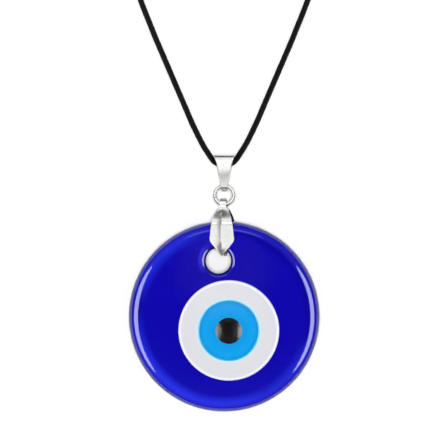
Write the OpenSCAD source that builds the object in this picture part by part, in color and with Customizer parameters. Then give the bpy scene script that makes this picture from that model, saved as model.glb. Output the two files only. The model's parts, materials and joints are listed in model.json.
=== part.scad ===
// Glass eye pendant on a neck cord, laid flat on its back. Its front faces +Z, its top points to +Y,
// and the surface that it lies on is z = 0.

/* [Glass disc] */
// Diameter of the disc
disc_d = 50; // [40:1:64]
// Thickness of the disc in the middle
disc_t = 6.6; // [5.6:0.1:8]
// How much lower the front is where the rim begins than in the middle
disc_crown = 1; // [0.6:0.1:1.4]
// Radius that rounds the front of the rim
rim_front_r = 3.2; // [2:0.1:3.4]
// Radius that rounds the back of the rim
rim_back_r = 1.6; // [0.8:0.1:1.8]

/* [Hanging hole] */
// Diameter of the hole
hole_d = 6.6; // [5.4:0.1:8]
// Distance from the middle of the hole to the level of the disc's top edge
hole_edge = 10.2; // [9.5:0.1:12.5]
// How far the middle of the hole is from the middle of the disc, sideways
hole_x = -1.5; // [-3:0.1:3]
// Radius that rounds the mouths of the hole
hole_lip_r = 1.4; // [0.8:0.1:1.6]

/* [Eye] */
// Diameter of the white layer
white_d = 26.2; // [20:0.2:28]
// Diameter of the light blue layer
light_d = 15.9; // [11:0.1:18]
// Diameter of the pupil
pupil_d = 6.8; // [4:0.1:9]
// How far the middle of the eye is from the middle of the disc, sideways
eye_x = 1.2; // [-2:0.1:2]
// How far the middle of the eye is from the middle of the disc, along the pendant
eye_y = -3.3; // [-5:0.1:-3]
// How deep the white layer goes into the disc
white_depth = 1.8; // [1.4:0.1:2.4]
// How deep the light blue layer goes into the white one
light_depth = 1.3; // [1:0.1:1.3]
// How deep the pupil goes into the light blue layer
pupil_depth = 0.9; // [0.5:0.1:0.9]
// How far each layer stands above the one that it is in
layer_step = 0.15; // [0.05:0.05:0.3]
// How far the middle of the pupil stands above its own edge
pupil_dome = 0.6; // [0.3:0.1:1]

/* [Pinch bail] */
// Width of a leaf at its widest
leaf_w = 6.3; // [4.6:0.1:7.5]
// Width of the neck that is folded over the jump ring
neck_w = 1.6; // [1.2:0.1:1.8]
// Thickness of the strip
strip_t = 0.5; // [0.4:0.05:0.6]
// Height of the ridge along the middle of a leaf
leaf_ridge = 0.45; // [0.2:0.05:0.7]
// Diameter of a prong
prong_d = 1; // [0.8:0.1:1.2]
// How far the tip of a leaf goes past its prong
leaf_tip = 0.7; // [0.6:0.1:1.3]
// Distance from the disc's top edge to the middle of the fold
fold_room = 4.4; // [4:0.1:6]
// How far the bail is turned about its own length, in degrees
bail_turn = 6; // [0:1:8]

/* [Jump ring] */
// Outer diameter of the jump ring
ring_d = 6.1; // [5.8:0.1:8]
// Diameter of the ring's wire
ring_wire = 1.15; // [0.8:0.05:1.2]

/* [Ribbon bail] */
// Width of the ribbon bail at its top
ribbon_w = 5.2; // [4:0.1:7]
// Width of the ribbon bail at its bottom
ribbon_end_w = 1.4; // [1:0.1:1.6]
// Distance between the middles of its two bends
ribbon_l = 6.4; // [5:0.1:9]
// Outer diameter of the bend that goes over the cord
ribbon_top_d = 4.6; // [4.5:0.1:6]

/* [Cord] */
// Diameter of the cord
cord_d = 1.5; // [1:0.1:1.5]
// Thickness of the tie round the coil
tie_t = 0.4; // [0.3:0.1:0.6]
// Width of the tie
tie_w = 1.8; // [1:0.1:3]

/* [Clasp and chain] */
// Outer length of a link
link_l = 6.2; // [5.6:0.1:8]
// Outer width of a link
link_w = 3.8; // [3.6:0.1:4.2]
// Diameter of the wire that links and small rings are made of
link_wire = 0.8; // [0.7:0.05:0.9]
// Length of an end cap
cap_l = 4.5; // [4:0.1:7]
// Outer diameter of an end cap
cap_d = 2.6; // [2.4:0.1:2.9]
// Thickness of the clasp
clasp_t = 2.6; // [2.4:0.1:2.9]
// Diameter of the bead at the end of the chain
bead_d = 2.9; // [2.4:0.1:2.9]

/* [Hidden] */

$fn = 64;
dome_fn = 720;
eps = 0.01;

// Glass
disc_r = disc_d / 2;
hole_r = hole_d / 2;
flat_r = disc_r - rim_front_r;
dome_r = (flat_r * flat_r + disc_crown * disc_crown) / (2 * disc_crown);
rim_h = disc_t - disc_crown;
hole_y = disc_r - hole_edge;
lip_inset = 0.15;
hole_t = disc_t - dome_r + sqrt(dome_r * dome_r - hole_x * hole_x - hole_y * hole_y);
layer_round = 0.3;
white_top_r = dome_r + layer_step;
light_top_r = white_top_r + layer_step;
white_floor = dome_r - white_depth;
light_floor = white_top_r - light_depth;
pupil_floor = light_top_r - pupil_depth;

// Pinch bail, measured from the middle of its fold
leaf_gap = 0.2 + leaf_w / 2 * sin(bail_turn);
prong_gap = 0.3;
prong_r = prong_d / 2;
ring_wire_r = ring_wire / 2;
ring_mid_r = (ring_d - ring_wire) / 2;
fold_gap = 0.5;
fold_r = ring_wire_r + fold_gap + strip_t / 2;
bail_x = -0.2;
prong_dx = bail_x - hole_x;
prong_reach = hole_r - prong_r - prong_gap;
prong_y = hole_y + sqrt(prong_reach * prong_reach - prong_dx * prong_dx);
fold_y = disc_r + fold_room;
prong_u = fold_y - prong_y;
leaf_l = prong_u + leaf_tip;
leaf_spread = hole_t / 2 + leaf_gap + strip_t / 2;
spread_l = fold_room + 1.1;
mid_z = hole_t / 2;
prong_split = 0.7;
// Half widths of a leaf, as shares of its widest, against the share of its length from the fold to the tip
leaf_outline = [
    [0.08, 0.34], [0.11, 0.5], [0.24, 0.72], [0.4, 0.88], [0.55, 0.95], [0.66, 1], [0.72, 0.97],
    [0.79, 0.76], [0.94, 0.22], [1, 0.04]
];
ridge_start = 1;
ridge_fade = 3;
leaf_steps = 26;
fold_steps = 12;

function smooth(t) = t <= 0 ? 0 : t >= 1 ? 1 : t * t * (3 - 2 * t);

// At a distance u from the fold: half the space between the leaves, the half width, the height of the ridge
function spread_at(u) = fold_r + (leaf_spread - fold_r) * smooth(u / spread_l);
function leaf_half_w(u) =
    u < leaf_outline[0][0] * leaf_l ? neck_w / 2 : lookup(u / leaf_l, leaf_outline) * leaf_w / 2;
function ridge_at(u) =
    leaf_ridge * smooth((u - ridge_start) / ridge_fade) * smooth((leaf_l + ridge_start - u) / ridge_fade);

// How the pendant lies: on the disc's lower edge, and on the ridge or an edge of the back leaf
function lean_on(y, depth) =
    let (arm = disc_r - rim_back_r + y, drop = rim_back_r + depth)
    asin(-rim_back_r / norm([arm, drop])) + atan2(drop, arm);
function ridge_depth(u) = (spread_at(u) + strip_t / 2 + ridge_at(u)) * cos(bail_turn) - mid_z;
function edge_depth(u) =
    (spread_at(u) + strip_t / 2) * cos(bail_turn) + leaf_half_w(u) * sin(bail_turn) - mid_z;
lean = max([
    for (i = [leaf_steps / 2:leaf_steps])
        let (u = leaf_l * i / leaf_steps)
            each [lean_on(fold_y - u, ridge_depth(u)), lean_on(fold_y - u, edge_depth(u))]
]);
disc_z = rim_back_r * (1 - cos(lean)) + (disc_r - rim_back_r) * sin(lean);
fold_z = disc_z + fold_y * sin(lean) + mid_z * cos(lean);

// How the ribbon bail and the jump ring lie between the cord and the pinch bail
ribbon_top_r = ribbon_top_d / 2;
ribbon_end_r = ring_wire_r + 0.3 + strip_t;
ribbon_z = ribbon_top_r + 0.05;
ribbon_y = 31.5;
ribbon_end_z = (fold_z + ribbon_z) / 2;
ribbon_lean = asin((ribbon_end_z - ribbon_z) / ribbon_l);
ribbon_end_y = ribbon_y - ribbon_l * cos(ribbon_lean);
ring_lean = asin((fold_z - ribbon_end_z) / (2 * ring_mid_r));
fold_world_y = ribbon_end_y - 2 * ring_mid_r * cos(ring_lean);
disc_y = fold_world_y - fold_y * cos(lean) + mid_z * sin(lean);

// Cord: points along the middle of its round section
cord_r = cord_d / 2;
cord_sides = 8;
coil_pos = [0, 88.8];
coil_in_r = 6.75;
coil_out_r = 9.8;
coil_base = 0.45;
coil_h = 4.57;
tie_angle = 180;
neck_route = [
    [-5.2, 79.8, 1.25], [-8.5, 79.85, 1], [-12, 79.95, 0.8], [-15.5, 80, 0.78], [-19, 80, 0.78],
    [-20.8, 79.5, 0.78], [-22.1, 78.2, 0.78], [-22.6, 76.5, 0.78], [-22.2, 74.8, 0.78], [-21, 71.6, 0.78],
    [-19.4, 67.6, 0.78], [-17.7, 63.4, 0.78], [-15.9, 59.2, 0.78], [-14.1, 55, 0.78], [-12.3, 50.8, 0.78],
    [-10.5, 46.6, 0.78], [-8.7, 42.4, 0.78], [-6.8, 38.4, 0.8], [-5.6, 36.1, 0.95], [-4.3, 34, 1.2],
    [-2.9, 32, 1.5], [-1.6, 31.1, 1.65], [0, 30.9, 1.7], [1.6, 31.1, 1.65], [2.9, 32, 1.5], [4.3, 34, 1.2],
    [5.6, 36.1, 0.95], [6.8, 38.4, 0.8], [8.7, 42.4, 0.78], [10.5, 46.6, 0.78], [12.3, 50.8, 0.78],
    [14.1, 55, 0.78], [15.9, 59.2, 0.78], [17.7, 63.4, 0.78], [19.4, 67.6, 0.78], [21, 71.6, 0.78],
    [22.3, 75.2, 0.78], [22.8, 78.2, 0.78], [22.2, 81.2, 0.78], [20.2, 84.2, 0.78], [17.4, 86.8, 0.78],
    [14.2, 89.2, 0.8], [11.6, 91.2, 0.9], [9.2, 92.9, 1.05]
];
tail_chain_route = [
    [8.6, 85.5, 4], [9.6, 87.2, 3.7], [10.6, 89.2, 3.3], [11.4, 91.6, 2.75], [12, 94.6, 2.1],
    [12.2, 97.6, 1.6], [12.2, 100.6, 1.48], [12.2, 103.4, 1.48]
];
tail_clasp_route = [
    [-8.8, 92.4, 4], [-10.8, 91.6, 3.4], [-13.3, 91.5, 2.4], [-15.4, 92.5, 1.75], [-16.8, 94.6, 1.5],
    [-17.6, 97.2, 1.48], [-18.3, 100, 1.48]
];

// Caps, small rings and links: each loop hangs in the one before it, and lies at 45 degrees to the surface
loop_gap = 0.1;
clasp_loop_gap = 0.3;
link_count = 8;
link_r = link_wire / 2;
link_end_r = (link_w - link_wire) / 2;
link_half = (link_l - link_wire) / 2;
small_ring_r = 1.5;
cap_eye_r = 1.05;
cap_eye_wire_r = 0.35;
cap_wall = 0.6;
cap_bore = cord_d + 0.1;
low_z = 1.48;
roll = 45;
chain_from = [12.2, 100.4];
chain_heading = 90;
clasp_from = [-17.6, 97.2];
clasp_heading = 104;
cap_eye_y = cap_l + cap_eye_r;
small_ring_y = cap_eye_y + cap_eye_r + small_ring_r - cap_eye_wire_r - link_r - loop_gap;
link_pitch = 2 * link_half - 2 * link_r - loop_gap;
first_link_y = small_ring_y + small_ring_r + link_half - 2 * link_r - loop_gap;
last_link_y = first_link_y + (link_count - 1) * link_pitch;
drop_y = last_link_y + link_half + cap_eye_r - link_r - cap_eye_wire_r - loop_gap;

// Clasp, measured from the middle of its eye
clasp_eye_r = 1.5;
clasp_y = small_ring_y + small_ring_r + clasp_eye_r - link_r - cap_eye_wire_r - clasp_loop_gap;
hook_mid = [0, 6.9];
hook_in_r = 2.3;
hook_out_r = 3.7;
lever_pivot = [-2.9, 4.6];
lever_tip = [-1, 8.35];
lever_t = 0.9;
lever_z = -0.2;
slot_t = 1.5;
rivet_r = 0.45;
spring_h = 0.35;

// Closes rings of points, all of the same number, into one solid
module skin(rings) {
    sides = len(rings[0]);
    last = len(rings) - 1;
    walls = [
        for (i = [0:last - 1])
            for (j = [0:sides - 1])
                let (k = (j + 1) % sides)
                    each [
                        [i * sides + j, i * sides + k, (i + 1) * sides + k],
                        [i * sides + j, (i + 1) * sides + k, (i + 1) * sides + j]
                    ]
    ];
    start = [for (j = [sides - 1:-1:0]) j];
    end = [for (j = [0:sides - 1]) last * sides + j];
    polyhedron(points = [for (ring = rings) each ring], faces = concat([start], walls, [end]));
}

function unit(v) = v / norm(v);

// Ring of points round one point of a cord, square to the way that the cord runs there
function cord_ring(route, i) =
    let (
        ahead = route[min(i + 1, len(route) - 1)],
        behind = route[max(i - 1, 0)],
        way = unit(ahead - behind),
        side = unit(cross(way, [0, 0, 1])),
        up = cross(side, way)
    )
    [for (a = [0:360 / cord_sides:359]) route[i] + cord_r * (side * cos(a) + up * sin(a))];

module cord_tube(route) skin([for (i = [0:len(route) - 1]) cord_ring(route, i)]);

// Quarter of a circle that rounds a corner of an outline
module round_corner(x, y, r, up) {
    translate([x, y]) mirror([0, up ? 0 : 1]) intersection() {
        circle(r = r);
        square(r);
    }
}

// Moves something from the middle of the crowned front to another place on it, square to the surface
module on_front(x, y) {
    translate([0, 0, disc_t - dome_r])
        rotate(a = asin(norm([x, y]) / dome_r), v = [-y, x, 0])
            children();
}

// Outline of a layer of the eye: flat floor, crowned top and a rounded edge
module layer_outline(r, floor_z, top_r) {
    edge_z = sqrt(top_r * top_r - (r - layer_round) * (r - layer_round));
    intersection() {
        circle(r = top_r, $fn = dome_fn);
        translate([0, floor_z]) square([r - layer_round, top_r - floor_z]);
    }
    translate([0, floor_z]) square([r, edge_z - layer_round - floor_z]);
    round_corner(r - layer_round, edge_z - layer_round, layer_round, true);
}

module pocket(r, floor_z) translate([0, 0, floor_z]) cylinder(h = disc_t, r = r);

// The hollow that rounds a mouth of the hole, its surface at z = 0
module hole_mouth() {
    lip_mid = hole_r - lip_inset + hole_lip_r;
    rotate_extrude() difference() {
        translate([0, -hole_lip_r]) square([lip_mid, hole_lip_r + 1]);
        translate([lip_mid, -hole_lip_r]) circle(r = hole_lip_r);
    }
}

module on_pendant() translate([0, disc_y, disc_z]) rotate([lean, 0, 0]) children();

module glass_disc() {
    color("mediumblue") on_pendant() difference() {
        rotate_extrude($fn = 128) {
            intersection() {
                translate([0, disc_t - dome_r]) circle(r = dome_r, $fn = dome_fn);
                square([flat_r, disc_t]);
            }
            square([disc_r - rim_back_r, rim_h - rim_front_r]);
            translate([0, rim_back_r]) square([disc_r, rim_h - rim_front_r - rim_back_r]);
            round_corner(flat_r, rim_h - rim_front_r, rim_front_r, true);
            round_corner(disc_r - rim_back_r, rim_back_r, rim_back_r, false);
        }
        translate([hole_x, hole_y, -1]) cylinder(h = disc_t + 2, r = hole_r);
        on_front(hole_x, hole_y) translate([0, 0, dome_r]) hole_mouth();
        translate([hole_x, hole_y, 0]) mirror([0, 0, 1]) hole_mouth();
        on_front(eye_x, eye_y) pocket(white_d / 2, white_floor);
    }
}

module eye_white() {
    color("ghostwhite") on_pendant() on_front(eye_x, eye_y) difference() {
        rotate_extrude($fn = 96) layer_outline(white_d / 2, white_floor, white_top_r);
        pocket(light_d / 2, light_floor);
    }
}

module eye_light_blue() {
    color("deepskyblue") on_pendant() on_front(eye_x, eye_y) difference() {
        rotate_extrude($fn = 96) layer_outline(light_d / 2, light_floor, light_top_r);
        pocket(pupil_d / 2, pupil_floor);
    }
}

module eye_pupil() {
    pupil_r = pupil_d / 2;
    cap_r = (pupil_r * pupil_r + pupil_dome * pupil_dome) / (2 * pupil_dome);
    edge_z = light_top_r + layer_step / 2;
    color("black") on_pendant() on_front(eye_x, eye_y) rotate_extrude() {
        translate([0, pupil_floor]) square([pupil_r, edge_z - pupil_floor]);
        intersection() {
            translate([0, edge_z + pupil_dome - cap_r]) circle(r = cap_r, $fn = 128);
            translate([0, edge_z - eps]) square([pupil_r, pupil_dome + eps]);
        }
    }
}

// Six points round the strip: middle at [y, z], facing along [ny, nz], with a ridge on its outer side
function strip_ring(y, z, ny, nz, half_w, ridge) =
    let (
        low = -strip_t / 2,
        high = strip_t / 2,
        at = function (x, h) [x, y + ny * h, z + nz * h]
    )
    [
        at(-half_w, low), at(0, low + ridge), at(half_w, low),
        at(half_w, high), at(0, high + ridge), at(-half_w, high)
    ];

function leaf_ring(u, side) =
    let (
        slope = (spread_at(u + eps) - spread_at(u - eps)) / (2 * eps),
        n = unit([slope, 1])
    )
    strip_ring(-u, side * spread_at(u), n[0], side * n[1], leaf_half_w(u), ridge_at(u));

module on_bail() {
    on_pendant() translate([bail_x, fold_y, mid_z]) rotate([0, -bail_turn, 0]) children();
}

module pinch_bail() {
    front = [for (i = [leaf_steps:-1:1]) leaf_ring(leaf_l * i / leaf_steps, 1)];
    fold = [
        for (i = [0:fold_steps])
            let (a = 180 * i / fold_steps)
                strip_ring(fold_r * sin(a), fold_r * cos(a), sin(a), cos(a), neck_w / 2, 0)
    ];
    back = [for (i = [1:leaf_steps]) leaf_ring(leaf_l * i / leaf_steps, -1)];
    prong_l = spread_at(prong_u) - prong_split;
    color("silver") on_bail() {
        skin(concat(front, fold, back));
        for (side = [-1, 1])
            scale([1, 1, side]) translate([0, -prong_u, prong_split]) {
                cylinder(h = prong_l, r = prong_r);
                sphere(r = prong_r);
            }
    }
}

module jump_ring() {
    color("silver")
        translate([0, ribbon_end_y - ring_mid_r * cos(ring_lean), ribbon_end_z + ring_mid_r * sin(ring_lean)])
            rotate([-ring_lean, 0, 0])
                rotate_extrude($fn = 96) translate([ring_mid_r, 0]) circle(r = ring_wire_r, $fn = 32);
}

// Outline of a belt round two circles, the first at the middle and the second at a distance on the left
module belt(r1, r2, distance) {
    tilt = asin((r1 - r2) / distance);
    circle(r = r1);
    translate([-distance, 0]) circle(r = r2);
    polygon([
        [-r1 * sin(tilt), r1 * cos(tilt)], [-distance - r2 * sin(tilt), r2 * cos(tilt)],
        [-distance - r2 * sin(tilt), -r2 * cos(tilt)], [-r1 * sin(tilt), -r1 * cos(tilt)]
    ]);
}

module ribbon_bail() {
    top_half = ribbon_w / 2;
    end_half = ribbon_end_w / 2;
    end_y = -ribbon_l - ribbon_end_r;
    side = [
        [top_half, ribbon_top_r + 1], [top_half, 0.8], [0.75 * top_half, -0.9],
        [0.5 * (0.75 * top_half + end_half), 0.55 * end_y], [end_half + 0.15, 0.85 * end_y],
        [end_half, end_y - 1]
    ];
    other_side = [for (i = [len(side) - 1:-1:0]) [-side[i][0], side[i][1]]];
    color("silver") translate([0, ribbon_y, ribbon_z]) rotate([-ribbon_lean, 0, 0]) intersection() {
        rotate([90, 0, 90]) linear_extrude(ribbon_w + 1, center = true) difference() {
            belt(ribbon_top_r, ribbon_end_r, ribbon_l);
            belt(ribbon_top_r - strip_t, ribbon_end_r - strip_t, ribbon_l);
        }
        linear_extrude(3 * ribbon_top_d, center = true) polygon(concat(side, other_side));
    }
}

module neck_cord() color("black") cord_tube(neck_route);

module cord_tail_clasp() color("black") cord_tube(tail_clasp_route);

module cord_tail_chain() color("black") cord_tube(tail_chain_route);

module cord_coil() {
    corner = 1.2;
    color("black") translate([coil_pos[0], coil_pos[1], coil_base]) rotate_extrude($fn = 96) {
        translate([coil_in_r, corner]) square([coil_out_r - coil_in_r, coil_h - 2 * corner]);
        translate([coil_in_r + corner, 0]) square([coil_out_r - coil_in_r - 2 * corner, coil_h]);
        for (x = [coil_in_r + corner, coil_out_r - corner], y = [corner, coil_h - corner])
            translate([x, y]) circle(r = corner);
    }
}

module coil_tie() {
    gap = 0.05;
    inner_w = coil_out_r - coil_in_r + 2 * gap;
    inner_h = coil_h + 2 * gap;
    low = coil_base - gap - tie_t;
    tail_r = 0.45;
    color("dimgray") translate([coil_pos[0], coil_pos[1], 0]) rotate([0, 0, tie_angle]) {
        rotate([90, 0, 0]) linear_extrude(tie_w, center = true) difference() {
            translate([coil_in_r - gap - tie_t, low]) square([inner_w + 2 * tie_t, inner_h + 2 * tie_t]);
            translate([coil_in_r - gap, low + tie_t]) square([inner_w, inner_h]);
        }
        translate([coil_out_r + gap + tie_t / 2, 0, 1.6]) rotate([0, 90, 0]) cylinder(h = 5, r = tail_r);
    }
}

// Places something on the line along which a cord end's cap, rings and links lie
module along(from, heading) translate([from[0], from[1], low_z]) rotate([0, 0, heading - 90]) children();

module round_loop(mid_r, wire_r) rotate_extrude() translate([mid_r, 0]) circle(r = wire_r, $fn = 24);

module oval_loop(half_l, end_r, wire_r) {
    straight = half_l - end_r;
    for (turn = [0, 180]) rotate([0, 0, turn]) {
        translate([0, straight, 0])
            rotate_extrude(angle = 180) translate([end_r, 0]) circle(r = wire_r, $fn = 24);
        translate([end_r, -straight, 0]) rotate([-90, 0, 0]) cylinder(h = 2 * straight, r = wire_r, $fn = 24);
    }
}

module end_cap() {
    rotate([-90, 0, 0]) difference() {
        cylinder(h = cap_l, r = cap_d / 2);
        translate([0, 0, -1]) cylinder(h = cap_l - cap_wall + 1, r = cap_bore / 2);
    }
    translate([0, cap_eye_y, 0]) rotate([0, -roll, 0]) round_loop(cap_eye_r, cap_eye_wire_r);
}

module small_ring() translate([0, small_ring_y, 0]) rotate([0, roll, 0]) round_loop(small_ring_r, link_r);

module cord_cap_clasp() color("silver") along(clasp_from, clasp_heading) end_cap();

module cord_cap_chain() color("silver") along(chain_from, chain_heading) end_cap();

module end_ring_clasp() color("silver") along(clasp_from, clasp_heading) small_ring();

module end_ring_chain() color("silver") along(chain_from, chain_heading) small_ring();

module chain_link(i) {
    color("silver") along(chain_from, chain_heading)
        translate([0, first_link_y + (i - 1) * link_pitch, 0])
            rotate([0, i % 2 == 1 ? -roll : roll, 0])
                oval_loop(link_half, link_end_r, link_r);
}

module chain_drop() {
    color("silver") along(chain_from, chain_heading) translate([0, drop_y, 0]) {
        rotate([0, -roll, 0]) round_loop(cap_eye_r, cap_eye_wire_r);
        translate([0, cap_eye_r + bead_d / 2 - 0.1, 0]) sphere(d = bead_d);
    }
}

module on_clasp() along(clasp_from, clasp_heading) translate([0, clasp_y, 0]) children();

module clasp_body() {
    neck_half = 0.8;
    shoulder_y = 5.6;
    color("silver") on_clasp() difference() {
        union() {
            round_loop(clasp_eye_r, cap_eye_wire_r);
            linear_extrude(clasp_t, center = true) difference() {
                union() {
                    translate(hook_mid) circle(r = hook_out_r);
                    polygon([
                        [-neck_half, clasp_eye_r], [neck_half, clasp_eye_r], [hook_out_r - 0.25, shoulder_y],
                        [-hook_out_r + 0.25, shoulder_y]
                    ]);
                }
                translate(hook_mid) circle(r = hook_in_r);
                polygon([
                    hook_mid, hook_mid + 6 * [cos(125), sin(125)], hook_mid + 8 * [cos(160), sin(160)],
                    hook_mid + 6 * [cos(197), sin(197)]
                ]);
            }
        }
        translate([lever_pivot[0], lever_pivot[1], 0]) cylinder(h = slot_t, r = 2.4, center = true);
        translate([lever_pivot[0], lever_pivot[1], 0]) cylinder(h = clasp_t + 1, r = rivet_r, center = true);
    }
}

module clasp_lever() {
    bar_w = 0.95;
    reach = lever_tip - lever_pivot;
    color("silver") on_clasp() translate([lever_pivot[0], lever_pivot[1], lever_z]) difference() {
        linear_extrude(lever_t, center = true) {
            circle(r = 1.05);
            rotate(atan2(reach[1], reach[0])) translate([0, -bar_w / 2]) square([norm(reach), bar_w]);
            translate(reach) circle(r = bar_w / 2);
            translate([-1.5, 0.7]) circle(r = 0.75);
            rotate(155) translate([0, -0.4]) square([1.6, 0.8]);
        }
        cylinder(h = lever_t + 1, r = rivet_r + 0.05, center = true);
    }
}

module clasp_rivet() {
    color("gainsboro") on_clasp() translate([lever_pivot[0], lever_pivot[1], 0]) {
        cylinder(h = clasp_t, r = rivet_r, center = true);
        for (side = [-1, 1]) scale([1, 1, side]) translate([0, 0, clasp_t / 2]) cylinder(h = 0.12, r = 0.75);
    }
}

module clasp_spring() {
    coil_mid = 0.72;
    wire = 0.1;
    low = lever_z + lever_t / 2 + 0.05;
    color("gainsboro") on_clasp() translate([lever_pivot[0], lever_pivot[1], low]) difference() {
        cylinder(h = spring_h, r = coil_mid + wire);
        translate([0, 0, -1]) cylinder(h = spring_h + 2, r = coil_mid - wire);
    }
}

glass_disc();
eye_white();
eye_light_blue();
eye_pupil();
pinch_bail();
jump_ring();
ribbon_bail();
neck_cord();
cord_coil();
coil_tie();
cord_tail_clasp();
cord_tail_chain();
cord_cap_clasp();
cord_cap_chain();
end_ring_clasp();
end_ring_chain();
clasp_body();
clasp_lever();
clasp_rivet();
clasp_spring();
for (i = [1:link_count])
    chain_link(i);
chain_drop();
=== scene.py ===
import json
import math

import bmesh
import bpy
from mathutils import Matrix, Vector

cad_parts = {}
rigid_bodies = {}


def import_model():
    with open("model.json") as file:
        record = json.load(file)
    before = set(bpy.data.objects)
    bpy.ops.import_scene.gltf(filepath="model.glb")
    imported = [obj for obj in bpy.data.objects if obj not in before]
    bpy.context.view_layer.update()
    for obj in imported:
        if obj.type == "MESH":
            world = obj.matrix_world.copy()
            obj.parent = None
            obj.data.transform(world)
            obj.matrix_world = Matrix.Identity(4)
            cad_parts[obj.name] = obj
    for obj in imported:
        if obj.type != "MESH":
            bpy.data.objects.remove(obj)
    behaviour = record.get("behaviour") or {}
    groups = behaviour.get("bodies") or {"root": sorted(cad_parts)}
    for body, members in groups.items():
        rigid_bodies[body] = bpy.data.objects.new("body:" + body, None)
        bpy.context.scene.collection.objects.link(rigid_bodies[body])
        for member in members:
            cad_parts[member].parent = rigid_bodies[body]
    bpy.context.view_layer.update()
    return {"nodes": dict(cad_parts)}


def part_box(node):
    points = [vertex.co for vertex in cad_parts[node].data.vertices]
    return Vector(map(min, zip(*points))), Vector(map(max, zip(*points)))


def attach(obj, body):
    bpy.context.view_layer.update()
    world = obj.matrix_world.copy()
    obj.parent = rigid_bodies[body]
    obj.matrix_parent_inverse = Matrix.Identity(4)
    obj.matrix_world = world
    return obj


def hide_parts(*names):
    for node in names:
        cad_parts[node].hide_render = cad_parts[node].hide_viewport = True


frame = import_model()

scene = bpy.context.scene
scene.view_settings.view_transform = "Standard"   # plain colours, white paper stays white
mm = 0.001


def inMetres(points):
    return [Vector(point) * mm for point in points]


def turnedBy(degrees, axis):
    return Matrix.Rotation(math.radians(degrees), 4, axis)


def movedBy(x, y, z):
    return Matrix.Translation(Vector((x, y, z)) * mm)


# camera: straight down on the pendant, which lies flat
cameraKit = {"viewWide": 117.0, "aimX": -0.05, "aimY": 15.3, "aimHeight": 4.0, "lens": 135.0, "sensor": 36.0,
             "clipStart": 0.01, "clipEnd": 10.0}


def setCamera(kit):
    camera = bpy.data.objects.new("camera", bpy.data.cameras.new("camera"))
    camera.data.lens = kit["lens"]
    camera.data.sensor_width = kit["sensor"]
    camera.data.clip_start = kit["clipStart"]
    camera.data.clip_end = kit["clipEnd"]
    distance = kit["viewWide"] * kit["lens"] / kit["sensor"]
    camera.location = Vector((kit["aimX"], kit["aimY"], kit["aimHeight"] + distance)) * mm
    scene.collection.objects.link(camera)
    scene.camera = camera


setCamera(cameraKit)
print("camera set")


# small tools
def linearColour(hexText):   # sRGB hex to the linear colour that shaders use
    parts = [int(hexText[i:i + 2], 16) / 255 for i in (1, 3, 5)]
    return [p / 12.92 if p <= 0.04045 else ((p + 0.055) / 1.055) ** 2.4 for p in parts] + [1]


def addNode(tree, kind, sockets=None, out=0, stops=(), blend="EASE", **settings):
    # one node with its settings, values and links; gives back one of its outputs
    node = tree.nodes.new("ShaderNode" + kind)
    for name, value in settings.items():
        setattr(node, name, value)
    for key, value in (sockets or {}).items():
        if isinstance(value, bpy.types.NodeSocket):
            tree.links.new(value, node.inputs[key])
        else:
            node.inputs[key].default_value = value
    if stops:   # only a colour ramp has them: (place, hex colour)
        ramp = node.color_ramp
        ramp.interpolation = blend
        while len(ramp.elements) < len(stops):
            ramp.elements.new(0.5)
        for element, (place, hexText) in zip(ramp.elements, stops):
            element.position = place
            element.color = linearColour(hexText)
    return node.outputs[out] if node.outputs else node


def newMaterial(name):
    material = bpy.data.materials.new(name)
    material.use_nodes = True
    material.node_tree.nodes.clear()
    return material, material.node_tree


def finishMaterial(material, colour, sockets):
    tree = material.node_tree
    surface = addNode(tree, "BsdfPrincipled", {"Base Color": colour, **sockets})
    addNode(tree, "OutputMaterial", {"Surface": surface})
    return material


def finishPiece(name, shape, material, body, stands=(), bevel=0, wall=0):
    mesh = bpy.data.meshes.new(name)
    shape.to_mesh(mesh)
    shape.free()
    mesh.shade_smooth()
    piece = bpy.data.objects.new(name, mesh)
    scene.collection.objects.link(piece)
    mesh.materials.append(material)
    if wall:
        solid = piece.modifiers.new("wall", "SOLIDIFY")
        solid.thickness = wall * mm
        solid.offset = 0
        solid.use_even_offset = True
    if bevel:
        edge = piece.modifiers.new("rounded edges", "BEVEL")
        edge.width = bevel * mm
        edge.segments = 3
        edge.limit_method = "ANGLE"
        edge.angle_limit = math.radians(32)
        piece.modifiers.new("even shading", "WEIGHTED_NORMAL").keep_sharp = True
    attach(piece, body)
    if stands:
        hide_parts(*stands)
    return piece


# cord: one waxed cotton cord, from cap to cap
cordKit = {"diameter": 1.5, "sides": 14, "step": 0.55, "length": 0.425, "strands": 8, "slant": 42.0,
           "braidDepth": 0.09, "shades": [(0, "#000000"), (0.4, "#020202"), (0.9, "#070708")]}
coilKit = {"middle": (0.0, 88.8), "innerRadius": 7.5, "outerRadius": 9.05, "low": 1.2, "layer": 1.52,
           "turns": 2 + 1 / 6, "pointsPerTurn": 24}
neckHalf = [(0, 30.9, 1.7), (1.6, 31.1, 1.65), (2.9, 32, 1.5), (4.3, 34, 1.2), (5.6, 36.1, 0.95), (6.8, 38.4, 0.8),
            (8.7, 42.4, 0.78), (10.5, 46.6, 0.78), (12.3, 50.8, 0.78), (14.1, 55, 0.78), (15.9, 59.2, 0.78),
            (17.7, 63.4, 0.78), (19.4, 67.6, 0.78), (21, 71.6, 0.78)]
neckRight = [(22.3, 75.2, 0.78), (22.8, 78.2, 0.78), (22.2, 81.2, 0.78), (20.2, 84.2, 0.78), (17.4, 86.8, 0.78),
             (14.2, 89.2, 0.8), (11.6, 91.2, 0.9), (9.2, 92.9, 1.05), (7.4, 94, 1.2), (5.6, 94.8, 1.2)]
neckLeft = [(-22.2, 74.8, 0.78), (-22.6, 76.5, 0.78), (-22.1, 78.2, 0.78), (-20.8, 79.5, 0.78), (-19, 80, 0.78),
            (-15.5, 80, 0.78), (-12, 79.95, 0.8), (-8.5, 79.85, 1), (-5.2, 79.8, 1.25), (-2.5, 79.75, 1.2)]
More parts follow.
